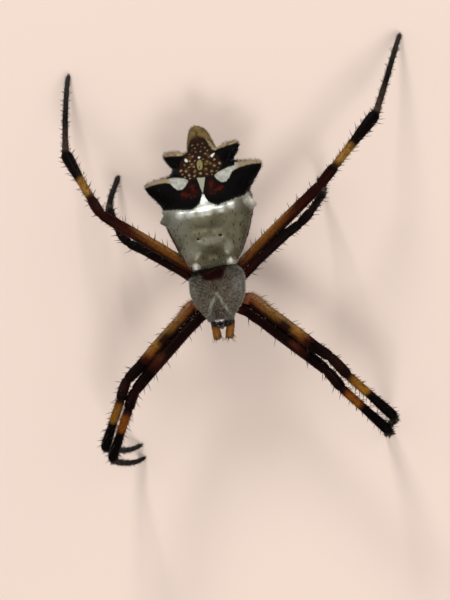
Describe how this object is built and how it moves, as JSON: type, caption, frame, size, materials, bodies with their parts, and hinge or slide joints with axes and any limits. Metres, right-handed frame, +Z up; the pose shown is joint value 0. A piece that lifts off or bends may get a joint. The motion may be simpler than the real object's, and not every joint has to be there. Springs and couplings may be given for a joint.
{
  "type": "silver orb weaver spider",
  "caption": "Life-size still model of an adult female silver orb weaver spider, standing with its legs held in pairs as an X.",
  "frame": {"origin": "on the floor, under the middle of the whole spider's bounding box", "axes": "head looks along -Y and the tail along +Y; +X is the spider's own left; +Z is up from the floor the feet stand on"},
  "size_m": [0.027, 0.0316, 0.0101],
  "materials": {
    "silver_down": "silver-grey felted down over dark skin",
    "silver_hide": "glossy silver, black and brown patterned hide",
    "leg_brown": "banded tan and dark brown chitin with spines",
    "leg_dark": "dark red-brown chitin",
    "leg_black": "black chitin with fine bristles",
    "mouth_tan": "orange-brown chitin with pale bristles",
    "eye_black": "polished black"
  },
  "bodies": {
    "root": {"abdomen": "silver_hide", "carapace": "silver_down", "chelicera_left": "mouth_tan", "chelicera_right": "mouth_tan", "eye_anterior_lateral_left": "eye_black", "eye_anterior_lateral_right": "eye_black", "eye_anterior_median_left": "eye_black", "eye_anterior_median_right": "eye_black", "eye_posterior_lateral_left": "eye_black", "eye_posterior_lateral_right": "eye_black", "eye_posterior_median_left": "eye_black", "eye_posterior_median_right": "eye_black", "fang_left": "leg_black", "fang_right": "leg_black", "leg_1_left_femur": "leg_brown", "leg_1_left_metatarsus": "leg_black", "leg_1_left_patella": "leg_dark", "leg_1_left_tarsus": "leg_black", "leg_1_left_tibia": "leg_brown", "leg_1_right_femur": "leg_brown", "leg_1_right_metatarsus": "leg_black", "leg_1_right_patella": "leg_dark", "leg_1_right_tarsus": "leg_black", "leg_1_right_tibia": "leg_brown", "leg_2_left_femur": "leg_brown", "leg_2_left_metatarsus": "leg_black", "leg_2_left_patella": "leg_dark", "leg_2_left_tarsus": "leg_black", "leg_2_left_tibia": "leg_brown", "leg_2_right_femur": "leg_brown", "leg_2_right_metatarsus": "leg_black", "leg_2_right_patella": "leg_dark", "leg_2_right_tarsus": "leg_black", "leg_2_right_tibia": "leg_brown", "leg_3_left_femur": "leg_brown", "leg_3_left_metatarsus": "leg_black", "leg_3_left_patella": "leg_dark", "leg_3_left_tarsus": "leg_black", "leg_3_left_tibia": "leg_brown", "leg_3_right_femur": "leg_brown", "leg_3_right_metatarsus": "leg_black", "leg_3_right_patella": "leg_dark", "leg_3_right_tarsus": "leg_black", "leg_3_right_tibia": "leg_brown", "leg_4_left_femur": "leg_brown", "leg_4_left_metatarsus": "leg_black", "leg_4_left_patella": "leg_dark", "leg_4_left_tarsus": "leg_black", "leg_4_left_tibia": "leg_brown", "leg_4_right_femur": "leg_brown", "leg_4_right_metatarsus": "leg_black", "leg_4_right_patella": "leg_dark", "leg_4_right_tarsus": "leg_black", "leg_4_right_tibia": "leg_brown", "pedicel": "leg_dark", "pedipalp_left": "mouth_tan", "pedipalp_right": "mouth_tan", "spinnerets": "leg_dark", "sternum": "leg_dark"}
  },
  "joints": []
}
